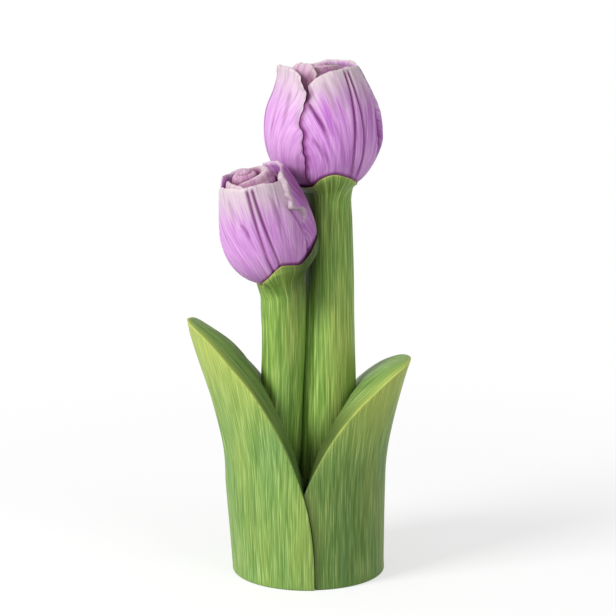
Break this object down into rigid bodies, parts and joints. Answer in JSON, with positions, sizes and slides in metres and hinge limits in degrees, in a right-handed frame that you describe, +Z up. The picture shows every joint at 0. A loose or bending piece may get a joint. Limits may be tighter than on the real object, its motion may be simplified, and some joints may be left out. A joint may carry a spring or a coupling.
{
  "type": "carved wooden tulip ornament",
  "caption": "Free-standing carved and painted wooden tulips, a tall and a short flower on tapered stems that rise between two flared leaves forming a round foot.",
  "frame": {"origin": "centre of the foot's underside, on the surface that the ornament stands on", "axes": "+Z up, -Y towards the viewer, +X to the viewer's right"},
  "size_m": [0.1298, 0.0933, 0.2988],
  "materials": {
    "green_leaf": "green paint brushed along the leaf, satin, worn to yellow at the edges",
    "green_stem": "green paint brushed along the stem, satin",
    "purple_petal": "purple paint over carved wood, satin, brushed pale at the tips",
    "purple_heart": "darker purple paint, satin",
    "bare_wood": "sanded bare wood",
    "dowel_wood": "turned bare wood"
  },
  "bodies": {
    "root": {"base_block": "bare_wood", "left_leaf": "green_leaf", "right_leaf": "green_leaf", "tall_stem": "green_stem", "short_stem": "green_stem", "tall_foot_dowel": "dowel_wood", "tall_head_dowel": "dowel_wood", "tall_front_petal": "purple_petal", "tall_back_petal": "purple_petal", "tall_left_petal": "purple_petal", "tall_inner_petal_right": "purple_heart", "tall_inner_petal_back": "purple_heart", "tall_inner_petal_left": "purple_heart", "tall_bud": "purple_heart", "short_foot_dowel": "dowel_wood", "short_head_dowel": "dowel_wood", "short_front_petal": "purple_petal", "short_right_petal": "purple_petal", "short_left_petal": "purple_petal", "short_inner_petal_right": "purple_heart", "short_inner_petal_back": "purple_heart", "short_inner_petal_left": "purple_heart", "short_bud": "purple_heart"}
  },
  "joints": []
}
